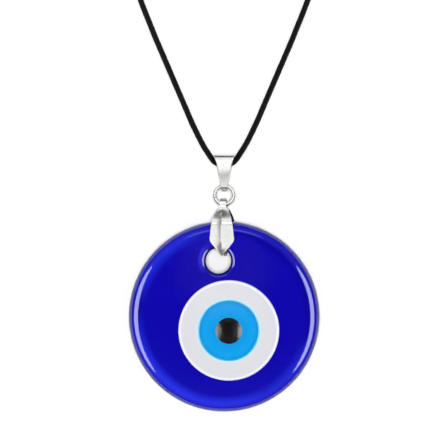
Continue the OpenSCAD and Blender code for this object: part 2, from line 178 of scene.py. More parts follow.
claspTail = [(-6.2, 93.9, 4.24), (-8.8, 92.4, 4), (-10.8, 91.6, 3.4), (-13.3, 91.5, 2.4), (-15.4, 92.5, 1.75),
             (-16.8, 94.6, 1.5), (-17.6, 97.2, 1.48), (-18.3, 100, 1.48)]
chainTail = [(8.6, 85.5, 4), (9.6, 87.2, 3.7), (10.6, 89.2, 3.3), (11.4, 91.6, 2.75), (12, 94.6, 2.1),
             (12.2, 97.6, 1.6), (12.2, 100.6, 1.48), (12.2, 103.4, 1.48)]


def eased(value, low, high):
    share = min(max((value - low) / (high - low), 0), 1)
    return share * share * (3 - 2 * share)


def woundTurns(kit, radius, startAngle, climbs, humps):   # climbs and humps are in turns from the start
    points = []
    last = round(kit["turns"] * kit["pointsPerTurn"])
    for i in range(last + 1):
        turn = i / kit["pointsPerTurn"]
        angle = math.radians(startAngle + 360 * turn)
        rise = sum(eased(turn, *climb) for climb in climbs)
        rise += sum(eased(turn, a, b) - eased(turn, c, d) for a, b, c, d in humps)
        points.append((kit["middle"][0] + radius * math.cos(angle), kit["middle"][1] + radius * math.sin(angle),
                       kit["low"] + rise * kit["layer"]))
    return points


def smoothPath(points, step):   # Catmull-Rom through every point
    points = [Vector(p) for p in points]
    path = []
    for i in range(len(points) - 1):
        a, b, c, d = (points[max(0, min(len(points) - 1, i + k))] for k in (-1, 0, 1, 2))
        count = max(1, round((c - b).length / step))
        for j in range(count):
            t = j / count
            path.append(0.5 * (2 * b + (c - a) * t + (2 * a - 5 * b + 4 * c - d) * t * t
                               + (3 * b - a - 3 * c + d) * t ** 3))
    return path + [points[-1]]


def noteSpots(spots, ring, place, sides, travelled):   # which side of the tube, and how far along it
    back = place.inverted()
    for v in ring:
        local = back @ v.co
        spots[v] = (round(math.atan2(local.y, local.x) / math.tau * sides) % sides, travelled)


def sweepTube(shape, path, radius, sides):   # a ring drawn along the path, its UV map in mm
    uvLayer = shape.loops.layers.uv.verify()
    tangents = [(path[min(i + 1, len(path) - 1)] - path[max(i - 1, 0)]).normalized() for i in range(len(path))]
    turn = Vector((0, 0, 1)).rotation_difference(tangents[0]).to_matrix().to_4x4()
    place = Matrix.Translation(path[0]) @ turn
    ring = bmesh.ops.create_circle(shape, radius=radius, segments=sides, matrix=place)["verts"]
    spots = {}
    noteSpots(spots, ring, place, sides, 0.0)
    edges = list({e for v in ring for e in v.link_edges})
    ends = [list(ring)]
    travelled = 0.0
    for i in range(1, len(path)):
        turn = tangents[i - 1].rotation_difference(tangents[i]).to_matrix().to_4x4() @ turn
        travelled += (path[i] - path[i - 1]).length
        newPlace = Matrix.Translation(path[i]) @ turn
        grown = bmesh.ops.extrude_edge_only(shape, edges=edges)["geom"]
        verts = [g for g in grown if isinstance(g, bmesh.types.BMVert)]
        bmesh.ops.transform(shape, matrix=newPlace @ place.inverted(), verts=verts)
        noteSpots(spots, verts, newPlace, sides, travelled)
        newSet = set(verts)
        edges = [g for g in grown if isinstance(g, bmesh.types.BMEdge) and set(g.verts) <= newSet]
        place = newPlace
    ends.append(verts)
    for end in ends:
        bmesh.ops.contextual_create(shape, geom=end)
    for face in shape.faces:
        around = [spots[v][0] for v in face.verts]
        wraps = len(face.verts) == 4 and max(around) - min(around) > sides / 2
        for loop, k in zip(face.loops, around):
            k += sides if wraps and k < sides / 2 else 0
            loop[uvLayer].uv = (k / sides * math.tau * radius / mm, spots[loop.vert][1] / mm)
    bmesh.ops.recalc_face_normals(shape, faces=shape.faces)


def waxedCotton(kit):
    # black waxed cotton, tightly braided: matt black with a soft grey wax sheen broken up by the strands
    material, tree = newMaterial("braidedWaxedCotton")
    uv = addNode(tree, "TexCoord", out="UV")
    bandLength = math.tau / 20   # how long one band of a wave texture is at scale 1
    period = math.pi * kit["diameter"] * math.cos(math.radians(kit["slant"])) / kit["strands"]
    waves = []
    for side in (1, -1):   # strands run both ways round the cord
        turned = addNode(tree, "Mapping", {"Vector": uv, "Rotation": (0, 0, math.radians(kit["slant"] * side))})
        waves.append(addNode(tree, "TexWave", {"Vector": turned, "Scale": bandLength / period}, "Fac"))
    braid = addNode(tree, "Math", {0: waves[0], 1: waves[1]}, operation="MAXIMUM")
    fibres = addNode(tree, "TexNoise", {"Vector": uv, "Scale": 3.0, "Detail": 4.0})
    height = addNode(tree, "Math", {0: fibres, 1: 0.3, 2: braid}, operation="MULTIPLY_ADD")
    shade = addNode(tree, "Math", {0: braid, 1: fibres}, operation="MULTIPLY")
    colour = addNode(tree, "ValToRGB", {"Fac": shade}, stops=kit["shades"])
    worn = addNode(tree, "MapRange", {"Value": fibres, "From Min": 0.2, "From Max": 0.9},
                   interpolation_type="SMOOTHSTEP")
    roughness = addNode(tree, "Math", {0: worn, 1: 0.22, 2: 0.36}, operation="MULTIPLY_ADD")
    bump = addNode(tree, "Bump", {"Height": height, "Distance": kit["braidDepth"] * mm, "Strength": 1.0})
    return finishMaterial(material, colour, {
        "Roughness": roughness, "Normal": bump, "IOR": 1.45, "Specular IOR Level": 0.12})


rightTurns = woundTurns(coilKit, coilKit["innerRadius"], 60, [(0.75, 1), (1.75, 2)], [])
leftTurns = woundTurns(coilKit, coilKit["outerRadius"], -90, [(0.8, 0.97), (1.8, 2)],
                       [(0.17, 0.3, 0.44, 0.57), (1.17, 1.3, 1.44, 1.57)])
mirrored = [(-x, y, z) for x, y, z in neckHalf[1:]]
route = (claspTail[::-1] + rightTurns[::-1] + neckRight[::-1] + neckHalf[::-1] + mirrored + neckLeft + leftTurns
         + chainTail)
cordPath = smoothPath(inMetres(route), cordKit["step"] * mm)
cordShape = bmesh.new()
sweepTube(cordShape, cordPath, cordKit["diameter"] / 2 * mm, cordKit["sides"])
cordMaterial = waxedCotton(cordKit)
cord = finishPiece("neckCord", cordShape, cordMaterial, "cord",
                   ["neck_cord", "cord_coil", "cord_tail_clasp", "cord_tail_chain"])
cordLength = sum((b - a).length for a, b in zip(cordPath, cordPath[1:]))
print(f"cord swept, {cordLength:.4f} m")


# glass eye
glassKit = {
    "discRadius": 25.0, "whiteRadius": 13.1, "lightRadius": 7.95, "pupilRadius": 3.4,
    "holeX": -1.5, "holeY": 14.8, "holeRadius": 3.3,
    "wave": 9.0, "waveDepth": 0.05, "cloud": 7.0, "seedSpacing": 2.6,
    # painted light makes the blue lighter near the rim, and painted shade makes a dark outline at the outermost edge
    "bluesWithPaintedRim": [(0.0, "#0900a2"), (0.8, "#0b02ac"), (0.885, "#09009c"), (0.94, "#0c06c0"), (0.974, "#0801a0"),
              (0.992, "#060078")],
    # painted light: a lighter blue crescent near the rim, strongest low on the left, standing in for light gathered
    # in the glass
    "paintedRimLight": "#2230ee", "paintedRimLightAt": 22.4, "paintedRimLightHalf": 2.3,
    "paintedRimLightSides": [(245, 0.2, 0.95, 1.0), (135, 0.75, 1.0, 0.7), (315, 0.82, 1.0, 0.6)],
    # painted shade: darker blue round the mouth of the hole
    "mouth": "#020038", "mouthReach": 0.9, "mouthCore": 0.25,
    # painted highlight: a lighter arc on the left side of the hole's mouth
    "paintedMouthHighlight": "#3a3ce8", "paintedMouthHighlightFrom": 170, "paintedMouthHighlightOut": 1.5, "paintedMouthHighlightHalf": 0.7, "cloudBlue": "#1406c4",
    # next to the light blue a cyan line, partly the real tint where the layers ran together and partly painted
    # highlight; a painted highlight line near the outer edge and painted shade at the very edge
    "whitesWithPaintedRim": [(0.0, "#8fe0f8"), (0.607, "#a6ecff"), (0.625, "#caf1fc"), (0.65, "#e2e2e9"), (0.93, "#e0e0e8"),
               (0.965, "#fbfbff"), (1.0, "#d4d4f0")],
    # the light blue's rim: a darker band of painted shade just inside it, then a pale edge, partly the real tint
    # where it ran into the white and partly painted highlight
    "skiesWithPaintedRim": [(0.0, "#0c9ae4"), (0.45, "#0e9ce8"), (0.8, "#12a4f0"), (0.9, "#0e9ce8"), (0.95, "#0a90da"),
              (0.985, "#58ccf6"), (1.0, "#9ae6fb")],
    "drift": 2.2, "mottle": 1.6, "mottleTint": "#8fa4d0", "enamelDent": 3.5, "enamelDentDepth": 0.05,
    "dropDent": 1.6, "dropDentDepth": 0.09,
    "blacks": [(0.0, "#0e0a07"), (0.75, "#0b0908"), (0.9, "#020508"), (1.0, "#02070c")]}


def middleOf(node):
    low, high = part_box(node)
    return (low + high) / 2


def fromMiddle(tree, middle):
    # a place on a piece, the way to it across the face from a middle, and how far that is in mm
    place = addNode(tree, "TexCoord", out="Object")
    local = addNode(tree, "Mapping", {"Vector": place, "Location": -middle})
    flat = addNode(tree, "VectorMath", {0: local, 1: (1 / mm, 1 / mm, 0)}, operation="MULTIPLY")
    distance = addNode(tree, "VectorMath", {0: flat}, "Value", operation="LENGTH")
    return place, flat, distance


def towards(tree, flat, degrees):   # 1 on the side of that direction, -1 on the other
    way = (math.cos(math.radians(degrees)), math.sin(math.radians(degrees)), 0)
    unit = addNode(tree, "VectorMath", {0: flat}, operation="NORMALIZE")
    return addNode(tree, "VectorMath", {0: unit, 1: way}, "Value", operation="DOT_PRODUCT")


def bandAt(tree, distance, middle, half):   # 1 at a distance from the middle, fading to 0 on both sides
    past = addNode(tree, "Math", {0: distance, 1: middle, 2: 0.0}, operation="SUBTRACT")
    off = addNode(tree, "Math", {0: past}, operation="ABSOLUTE")
    return addNode(tree, "MapRange", {"Value": off, "From Min": half, "From Max": 0.0},
                   interpolation_type="SMOOTHSTEP")


def tinted(tree, colour, amount, most, hexText):   # colour, with some of another where amount is high
    share = addNode(tree, "Math", {0: amount, 1: most}, operation="MULTIPLY")
    return addNode(tree, "Mix", {0: share, 6: colour, 7: linearColour(hexText)}, 2, data_type="RGBA")


def cobaltGlass(kit):
    # cobalt blue soda glass, pressed and fire polished: deep even blue, mirror-smooth with a slow waviness,
    # with painted light near the rim, painted shade as a dark outline at the outermost edge, and painted shade with a
    # painted highlight round the hole
    material, tree = newMaterial("pressedCobaltGlass")
    disc = middleOf("glass_disc")
    place, flat, distance = fromMiddle(tree, disc)
    share = addNode(tree, "Math", {0: distance, 1: kit["discRadius"]}, operation="DIVIDE")
    # this ramp holds the painted rim light and the painted dark outline of shade
    colour = addNode(tree, "ValToRGB", {"Fac": share}, stops=kit["bluesWithPaintedRim"])
    # painted light on the rim, on the sides listed in the kit
    paintedLightShare = 0.0
    for degrees, low, high, strength in kit["paintedRimLightSides"]:
        side = addNode(tree, "MapRange", {"Value": towards(tree, flat, degrees), "From Min": low,
                                          "From Max": high}, interpolation_type="SMOOTHSTEP")
        side = addNode(tree, "Math", {0: side, 1: strength}, operation="MULTIPLY")
        paintedLightShare = addNode(tree, "Math", {0: side, 1: paintedLightShare}, operation="MAXIMUM")
    rim = bandAt(tree, distance, kit["paintedRimLightAt"], kit["paintedRimLightHalf"])
    paintedLightShare = addNode(tree, "Math", {0: paintedLightShare, 1: rim}, operation="MULTIPLY")
    colour = tinted(tree, colour, paintedLightShare, 0.85, kit["paintedRimLight"])
    hole = Vector((kit["holeX"], kit["holeY"], 0)) * mm + disc
    _, holeFlat, fromHole = fromMiddle(tree, hole)
    # painted shade round the mouth of the hole
    mouth = addNode(tree, "MapRange", {"Value": fromHole, "From Min": kit["holeRadius"] + kit["mouthReach"],
                                       "From Max": kit["holeRadius"] + kit["mouthCore"]},
                    interpolation_type="SMOOTHSTEP")
    colour = tinted(tree, colour, mouth, 0.8, kit["mouth"])
    # painted highlight on the left side of the hole's mouth
    paintedMouthHighlight = bandAt(tree, fromHole, kit["holeRadius"] + kit["paintedMouthHighlightOut"], kit["paintedMouthHighlightHalf"])
    mouthSide = addNode(tree, "MapRange", {"Value": towards(tree, holeFlat, kit["paintedMouthHighlightFrom"]),
                                           "From Min": 0.5, "From Max": 1.0}, interpolation_type="SMOOTHSTEP")
    paintedMouthHighlight = addNode(tree, "Math", {0: paintedMouthHighlight, 1: mouthSide}, operation="MULTIPLY")
    colour = tinted(tree, colour, paintedMouthHighlight, 0.55, kit["paintedMouthHighlight"])
    cloud = addNode(tree, "TexNoise", {"Vector": place, "Scale": 1 / (kit["cloud"] * mm), "Detail": 3.0})
    cloud = addNode(tree, "MapRange", {"Value": cloud, "From Min": 0.45, "From Max": 0.8},
                    interpolation_type="SMOOTHSTEP")
    colour = tinted(tree, colour, cloud, 0.25, kit["cloudBlue"])
    seeds = addNode(tree, "TexVoronoi", {"Vector": place, "Scale": 1 / (kit["seedSpacing"] * mm)}, "Distance")
    seeds = addNode(tree, "MapRange", {"Value": seeds, "From Min": 0.09, "From Max": 0.03},
                    interpolation_type="SMOOTHSTEP")   # tiny pits of burst bubbles
    wave = addNode(tree, "TexNoise", {"Vector": place, "Scale": 1 / (kit["wave"] * mm), "Detail": 1.0})
    height = addNode(tree, "Math", {0: seeds, 1: -0.06, 2: wave}, operation="MULTIPLY_ADD")
    bump = addNode(tree, "Bump", {"Height": height, "Distance": kit["waveDepth"] * mm, "Strength": 1.0})
    return finishMaterial(material, colour, {
        "Roughness": 0.06, "IOR": 1.52, "Coat Weight": 0.2, "Coat Roughness": 0.02, "Normal": bump})


def enamelGlass(kit, name, middle, stops, radius):
    # opaque glass melted into the disc: flat saturated colour, soft rim lines that are partly the real tint where the
    # layers ran together and partly painted highlight and painted shade, wet shine
    material, tree = newMaterial(name)
    place, flat, distance = fromMiddle(tree, middle)
    drift = addNode(tree, "TexNoise", {"Vector": place, "Scale": 1 / (kit["drift"] * mm), "Detail": 3.0})
    drift = addNode(tree, "Math", {0: drift, 1: 0.16, 2: -0.08}, operation="MULTIPLY_ADD")
    wandering = addNode(tree, "Math", {0: distance, 1: drift}, operation="ADD")
    share = addNode(tree, "Math", {0: wandering, 1: radius}, operation="DIVIDE")
    # the stops hold painted highlight and painted shade at the rims
    colour = addNode(tree, "ValToRGB", {"Fac": share}, stops=stops, blend="LINEAR")
    mottle = addNode(tree, "TexNoise", {"Vector": place, "Scale": 1 / (kit["mottle"] * mm), "Detail": 4.0})
    mottle = addNode(tree, "MapRange", {"Value": mottle, "From Min": 0.5, "From Max": 0.8},
                     interpolation_type="SMOOTHSTEP")
    colour = tinted(tree, colour, mottle, 0.05, kit["mottleTint"])
    dents = addNode(tree, "TexNoise", {"Vector": place, "Scale": 1 / (kit["enamelDent"] * mm), "Detail": 2.0})
    bump = addNode(tree, "Bump", {"Height": dents, "Distance": kit["enamelDentDepth"] * mm, "Strength": 1.0})
    return finishMaterial(material, colour, {
        "Roughness": 0.06, "IOR": 1.52, "Coat Weight": 0.3, "Coat Roughness": 0.03, "Normal": bump})


def blackDrop(kit, middle):
    # drop of opaque black glass: pitch black and domed, with a soft highlight on each side
    material, tree = newMaterial("blackGlassDrop")
    place, flat, distance = fromMiddle(tree, middle)
    share = addNode(tree, "Math", {0: distance, 1: kit["pupilRadius"]}, operation="DIVIDE")
    colour = addNode(tree, "ValToRGB", {"Fac": share}, stops=kit["blacks"])
    dents = addNode(tree, "TexNoise", {"Vector": place, "Scale": 1 / (kit["dropDent"] * mm), "Detail": 1.0})
    bump = addNode(tree, "Bump", {"Height": dents, "Distance": kit["dropDentDepth"] * mm, "Strength": 1.0})
    return finishMaterial(material, colour, {
        "Roughness": 0.22, "IOR": 1.52, "Coat Weight": 0.1, "Coat Roughness": 0.12, "Normal": bump})


def dress(node, material):   # a CAD node keeps its shape and gets its finish
    slots = frame["nodes"][node].material_slots
    for slot in slots:
        slot.material = material
    if not slots:
        frame["nodes"][node].data.materials.append(material)


eyeMiddle = middleOf("eye_pupil")
dress("glass_disc", cobaltGlass(glassKit))
dress("eye_white", enamelGlass(glassKit, "meltedWhiteGlass", eyeMiddle, glassKit["whitesWithPaintedRim"],
                               glassKit["whiteRadius"]))
dress("eye_light_blue", enamelGlass(glassKit, "meltedSkyGlass", eyeMiddle, glassKit["skiesWithPaintedRim"],
                                    glassKit["lightRadius"]))
dress("eye_pupil", blackDrop(glassKit, eyeMiddle))
print("glass dressed")


# metal finishes
cloudPatch = 1.7   # size of the faint cloudy patches in the plating, in mm


def platedMetal(name, tint, roughness, grain, grainDepth, stretch=(1, 1, 1)):
    # plated metal: its grain and hairlines are stretched along the way it was polished
    material, tree = newMaterial(name)
    place = addNode(tree, "TexCoord", out="Object")
    along = addNode(tree, "Mapping", {"Vector": place, "Scale": stretch})
    lines = addNode(tree, "TexNoise", {"Vector": along, "Scale": 1 / (grain * mm), "Detail": 5.0})
    cloud = addNode(tree, "TexNoise", {"Vector": place, "Scale": 1 / (cloudPatch * mm), "Detail": 2.0})
    dull, bright = (linearColour(hexText) for hexText in tint)
    share = addNode(tree, "MapRange", {"Value": cloud, "From Min": 0.35, "From Max": 0.75},
                    interpolation_type="SMOOTHSTEP")
    colour = addNode(tree, "Mix", {0: share, 6: dull, 7: bright}, 2, data_type="RGBA")
    rough = addNode(tree, "Math", {0: lines, 1: roughness * 0.8, 2: roughness * 0.55}, operation="MULTIPLY_ADD")
    bump = addNode(tree, "Bump", {"Height": lines, "Distance": grainDepth * mm, "Strength": 1.0})
    return finishMaterial(material, colour, {"Metallic": 1.0, "Roughness": rough, "Normal": bump})


# silver-plated zinc alloy, tumbled and polished: bright mirror with soft haze
polishedSilver = platedMetal("polishedSilverPlate", ("#f0f0ee", "#f8f7f4"), 0.26, 0.6, 0.0012)
# stamped strip brushed along its length before plating: streaked grey reflections
brushedSilver = platedMetal("brushedSilverPlate", ("#ececea", "#f6f5f2"), 0.22, 0.22, 0.006, (1, 0.06, 0.06))
# nickel-plated wire and castings: slightly yellow, a little duller
nickelPlate = platedMetal("tumbledNickelPlate", ("#d6d2c8", "#e6e2d9"), 0.22, 0.4, 0.0015)
# bare drawn spring wire
springWire = platedMetal("drawnSpringWire", ("#8f8f8f", "#a8a8a6"), 0.3, 0.15, 0.006)

metalFinishes = [polishedSilver, brushedSilver, nickelPlate, springWire]

# pinch bail: one strip folded over the jump ring, with a prong inside each leaf
pendantPlace = movedBy(0, -8.82812, 0.816813) @ turnedBy(1.99802, "X")
bailKit = {"leafLength": 13.1646, "leafWidth": 6.3, "neckWidth": 1.6, "strip": 0.43, "ridge": 0.45,
           "foldRadius": 1.325, "spread": 3.875, "spreadLength": 5.3, "prongAt": 12.4646,
           "prongRadius": 0.5, "prongSplit": 0.7, "prongRoot": 0.5, "tipRound": 0.42,
           "backTipShift": (0.55, -0.75), "ridgeRise": (1.0, 4.0), "ridgeFade": (-1.0, 2.0),
           "rows": 44, "foldRows": 14, "across": 22,
           "outline": [(0, 0.254), (0.08, 0.3), (0.11, 0.5), (0.24, 0.72), (0.4, 0.88), (0.55, 0.95), (0.66, 1),
                       (0.72, 0.97), (0.79, 0.76), (0.94, 0.22), (1, 0.04)]}
bailPlace = pendantPlace @ movedBy(-0.2, 29.4, 3.06744) @ turnedBy(-6, "Y")


def lookUp(table, value):   # straight lines between the pairs of a table
    for (x0, y0), (x1, y1) in zip(table, table[1:]):
        if value <= x1:
            return y0 + (y1 - y0) * max(0, (value - x0) / (x1 - x0))
    return table[-1][1]


ridgeHollow = 1.8   # above 1 the sides of a ridge sag, which makes its crest a thin line


def bentStrip(shape, rows, across, place):   # rows: (y, z, normal y, normal z, half width, ridge), in mm
    grid = bmesh.ops.create_grid(shape, x_segments=across, y_segments=len(rows) - 1, size=1)["verts"]
    for v in grid:
        y, z, normalY, normalZ, half, ridge = rows[round((v.co.y + 1) / 2 * (len(rows) - 1))]
        lift = ridge * (1 - abs(v.co.x)) ** ridgeHollow
        v.co = place @ (Vector((v.co.x * half, y + normalY * lift, z + normalZ * lift)) * mm)
    bmesh.ops.remove_doubles(shape, verts=shape.verts, dist=0.02 * mm)
    bmesh.ops.recalc_face_normals(shape, faces=shape.faces)


def leafRow(kit, u, side):
    spread = kit["foldRadius"] + (kit["spread"] - kit["foldRadius"]) * eased(u, 0, kit["spreadLength"])
    ahead = 0.01   # mm further along, for the slope
    later = kit["foldRadius"] + (kit["spread"] - kit["foldRadius"]) * eased(u + ahead, 0, kit["spreadLength"])
    normal = Vector(((later - spread) / ahead, 1)).normalized()
    half = lookUp(kit["outline"], u / kit["leafLength"]) * kit["leafWidth"] / 2
    ridge = kit["ridge"] * eased(u, *kit["ridgeRise"]) * eased(kit["leafLength"] - u, *kit["ridgeFade"])
    return (-u, side * spread, normal.x, side * normal.y, half, ridge)


def makePinchBail(kit):
    length, count = kit["leafLength"], kit["rows"]
    front = [leafRow(kit, length * i / count, 1) for i in range(count, 0, -1)]
    back = [leafRow(kit, length * i / count, -1) for i in range(1, count + 1)]
    fold = []
    for i in range(kit["foldRows"] + 1):
        angle = math.pi * i / kit["foldRows"]
        y, z = math.sin(angle), math.cos(angle)
        fold.append((kit["foldRadius"] * y, kit["foldRadius"] * z, y, z, kit["neckWidth"] / 2, 0))
    shape = bmesh.new()
    bentStrip(shape, front + fold + back, kit["across"], bailPlace)
    finishPiece("pinchBailLeaves", shape, polishedSilver, "pinch_bail", ["pinch_bail"],
                bevel=0.09, wall=kit["strip"])
    reach = leafRow(kit, kit["prongAt"], 1)[1] - kit["prongSplit"]
    depth = reach + kit["prongRoot"]   # each prong starts inside its leaf
    for side, name in ((1, "pinchBailFrontProng"), (-1, "pinchBailBackProng")):
        shape = bmesh.new()
        bmesh.ops.create_cone(shape, cap_ends=True, segments=28, radius1=kit["prongRadius"] * mm,
                              radius2=kit["prongRadius"] * mm, depth=depth * mm)
        lowest = min(v.co.z for v in shape.verts)
        tip = [e for e in shape.edges if all(v.co.z < lowest + 1e-6 for v in e.verts)]
        bmesh.ops.bevel(shape, geom=tip, offset=kit["tipRound"] * mm, affect="EDGES", segments=5, profile=0.5,
                        material=-1)
        if side < 0:   # the back prong was bent sideways when it was pinched
            for v in shape.verts:
                share = (0.5 - v.co.z / (depth * mm)) ** 2   # 0 at the leaf, 1 at the tip
                v.co += Vector((*kit["backTipShift"], 0)) * mm * share
        lift = movedBy(0, -kit["prongAt"], kit["prongSplit"] - kit["prongRoot"] + depth / 2)
        flip = Matrix.Identity(4) if side > 0 else Matrix.Scale(-1, 4, (0, 0, 1))
        bmesh.ops.transform(shape, matrix=bailPlace @ flip @ lift, verts=shape.verts)
        bmesh.ops.recalc_face_normals(shape, faces=shape.faces)
        finishPiece(name, shape, polishedSilver, "pinch_bail")


makePinchBail(bailKit)

# ribbon bail: a closed band that tapers from the cord down to the jump ring
ribbonKit = {"topRadius": 2.05, "endRadius": 1.125, "length": 6.4, "strip": 0.5, "lean": 11.5252, "height": 2.35,
             "y": 31.5, "crown": 0.16, "across": 8, "bendRows": 22, "legRows": 12,
             "halfWidth": [(-8.8, 0.7), (-6.61, 0.85), (-4.28, 1.325), (-0.9, 1.95), (0.8, 2.6), (3.3, 2.6)]}


def makeRibbonBail(kit):
    far, near, length = kit["endRadius"], kit["topRadius"], kit["length"]
    tilt = math.asin((near - far) / length)
    ring = []
    for centre, radius, start, end, count in ((0, near, -math.pi / 2 - tilt, math.pi / 2 + tilt, kit["bendRows"]),
                                              (-length, far, math.pi / 2 + tilt, 3 * math.pi / 2 - tilt,
                                               kit["bendRows"])):
        for i in range(count + 1):
            angle = start + (end - start) * i / count
            ring.append((centre + radius * math.cos(angle), radius * math.sin(angle), math.cos(angle),
                         math.sin(angle)))
    ring.append(ring[0])
    rows = []
    for here, after in zip(ring, ring[1:]):   # the straight legs get rows of their own
        gap = math.dist(here[:2], after[:2])
        count = kit["legRows"] if gap > 2 else 1
        for i in range(count):
            y, z, ny, nz = (a + (b - a) * i / count for a, b in zip(here, after))
            bulge = kit["crown"] * math.sin(math.pi * i / count)
            rows.append((y + ny * bulge, z + nz * bulge, ny, nz))
    rows.append(ring[0])
    strip = [(y, z, ny, nz, lookUp(kit["halfWidth"], y), 0) for y, z, ny, nz in rows]
    shape = bmesh.new()
    place = movedBy(0, kit["y"], kit["height"]) @ turnedBy(-kit["lean"], "X")
    bentStrip(shape, strip, kit["across"], place)
    finishPiece("ribbonBailBand", shape, brushedSilver, "ribbon_bail", ["ribbon_bail"],
                bevel=0.1, wall=kit["strip"])


makeRibbonBail(ribbonKit)
print("bails made")


# rings and wire
def bentWire(shape, ringRadius, wireRadius, place, degrees=360.0, rise=0.0, steps=72, sides=18):   # in mm
    before = set(shape.verts)
    circle = bmesh.ops.create_circle(shape, radius=wireRadius * mm, segments=sides,
                                     matrix=movedBy(ringRadius, 0, 0) @ turnedBy(90, "X"))["verts"]
    edges = list({e for v in circle for e in v.link_edges})
    whole = degrees == 360.0
    spun = bmesh.ops.spin(shape, geom=list(circle) + edges, cent=(0, 0, 0), axis=(0, 0, 1),
                          dvec=(0, 0, rise * mm / steps), angle=math.radians(degrees), steps=steps, use_merge=whole)
    verts = [v for v in shape.verts if v not in before]
    if not whole:
        bmesh.ops.contextual_create(shape, geom=list(circle))
        bmesh.ops.contextual_create(shape, geom=[g for g in spun["geom_last"] if isinstance(g, bmesh.types.BMVert)])
    bmesh.ops.transform(shape, matrix=place, verts=verts)
    bmesh.ops.recalc_face_normals(shape, faces=shape.faces)


ringKit = {"radius": 2.475, "wire": 0.575, "y": 25.229, "z": 3.62871, "lean": 14.9707, "cut": 1.2, "cutAt": 200}
leanBack = math.radians(ringKit["lean"])
ringPlace = (movedBy(0, ringKit["y"] - ringKit["radius"] * math.cos(leanBack),
                     ringKit["z"] + ringKit["radius"] * math.sin(leanBack))
             @ turnedBy(-ringKit["lean"], "X") @ turnedBy(ringKit["cutAt"], "Z"))
ringShape = bmesh.new()
bentWire(ringShape, ringKit["radius"], ringKit["wire"], ringPlace, degrees=360 - ringKit["cut"], steps=96, sides=24)
finishPiece("cutJumpRing", ringShape, polishedSilver, "jump_ring", ["jump_ring"], bevel=0.05)

# end caps
capKit = {"eyeRadius": 1.05, "eyeWire": 0.35, "eyeY": 5.55, "roll": 45,
          "profile": [(0, 3.9), (0.8, 3.8), (0.8, 0.12), (0.9, 0), (1.18, 0), (1.3, 0.12), (1.3, 0.5), (1.16, 0.66),
                      (1.16, 0.92), (1.28, 1.08), (1.28, 1.9), (1.14, 2.1), (1.14, 2.5), (1.28, 2.7), (1.28, 3.9),
                      (1.15, 4.3), (0.8, 4.48), (0, 4.5)]}
findingsKit = {"height": 1.48, "clasp": (-17.6, 97.2, 104), "chain": (12.2, 100.4, 90)}


def findingPlace(side):
    x, y, heading = findingsKit[side]
    return movedBy(x, y, findingsKit["height"]) @ turnedBy(heading - 90, "Z")


def latheShape(shape, profile, place, steps=48):   # profile: (radius, distance along) in mm, turned about Y
    verts = [shape.verts.new(Vector((r, y, 0)) * mm) for r, y in profile]
    edges = [shape.edges.new(pair) for pair in zip(verts, verts[1:])]
    bmesh.ops.spin(shape, geom=verts + edges, cent=(0, 0, 0), axis=(0, 1, 0), angle=math.tau, steps=steps,
                   use_merge=True)
    bmesh.ops.remove_doubles(shape, verts=shape.verts, dist=0.005 * mm)
    bmesh.ops.recalc_face_normals(shape, faces=shape.faces)
    bmesh.ops.transform(shape, matrix=place, verts=shape.verts)


for side in ("clasp", "chain"):
    shape = bmesh.new()
    latheShape(shape, capKit["profile"], findingPlace(side))
    bentWire(shape, capKit["eyeRadius"], capKit["eyeWire"],
             findingPlace(side) @ movedBy(0, capKit["eyeY"], 0) @ turnedBy(-capKit["roll"], "Y"), steps=48, sides=14)
    finishPiece(f"{side}EndCap", shape, nickelPlate, "cord",
                                 [f"cord_cap_{side}"], bevel=0.03)


# clasp: the cast parts with their edges tumbled round
def tumbledCopy(name, node, body, edge, material):
    shape = bmesh.new()
    shape.from_mesh(frame["nodes"][node].data)
    bmesh.ops.remove_doubles(shape, verts=shape.verts, dist=0.002 * mm)
    bmesh.ops.dissolve_limit(shape, angle_limit=math.radians(1), verts=shape.verts, edges=shape.edges)
    return finishPiece(name, shape, material, body, [node], bevel=edge)


claspPieces = [tumbledCopy("claspHook", "clasp_body", "clasp", 0.2, nickelPlate),
               tumbledCopy("claspThumbLever", "clasp_lever", "clasp_lever", 0.12, nickelPlate),
               tumbledCopy("claspRivetHeads", "clasp_rivet", "clasp", 0.05, nickelPlate)]
springKit = {"radius": 0.72, "wire": 0.085, "turns": 2.0, "low": 0.3, "rise": 0.18, "y": 13.8, "x": -2.9}
springShape = bmesh.new()
bentWire(springShape, springKit["radius"], springKit["wire"],
         findingPlace("clasp") @ movedBy(springKit["x"], springKit["y"], springKit["low"] + springKit["wire"]),
         degrees=360 * springKit["turns"], rise=springKit["rise"], steps=64, sides=8)
claspPieces.append(finishPiece("claspSpringTurns", springShape, springWire, "clasp",
                               ["clasp_spring"]))
chainNodes = ["end_ring_clasp", "end_ring_chain", "chain_drop"] + [f"chain_link_{i}" for i in range(1, 9)]
for node in chainNodes:
    dress(node, nickelPlate)
print("findings made")

# twist tie round the coil
tieKit = {"inside": 6.75, "outside": 9.8, "low": 0.45, "high": 5.02, "off": 0.2, "corner": 0.7, "half": 0.75,
          "wall": 0.22, "tailStart": 10.0, "tailLength": 4.6, "tailHeight": 1.6, "tailHalf": 0.36, "twists": 2.5,
          "tailRows": 50, "cornerSteps": 6, "fibre": 0.25, "fibreDepth": 0.05,
          "shades": [(0.2, "#0e0e0f"), (0.55, "#19191a"), (0.85, "#2b2a2a")]}


def paperTie(kit):
    # paper over a thin wire core: dull dark strip with fine fibres, a little lighter along its folds
    material, tree = newMaterial("paperCoveredTieWire")
    place = addNode(tree, "TexCoord", out="Object")
    fibre = addNode(tree, "TexNoise", {"Vector": place, "Scale": 1 / (kit["fibre"] * mm), "Detail": 5.0})
    colour = addNode(tree, "ValToRGB", {"Fac": fibre}, stops=kit["shades"])
    bump = addNode(tree, "Bump", {"Height": fibre, "Distance": kit["fibreDepth"] * mm, "Strength": 1.0})
    return finishMaterial(material, colour, {"Roughness": 0.72, "IOR": 1.45, "Normal": bump})


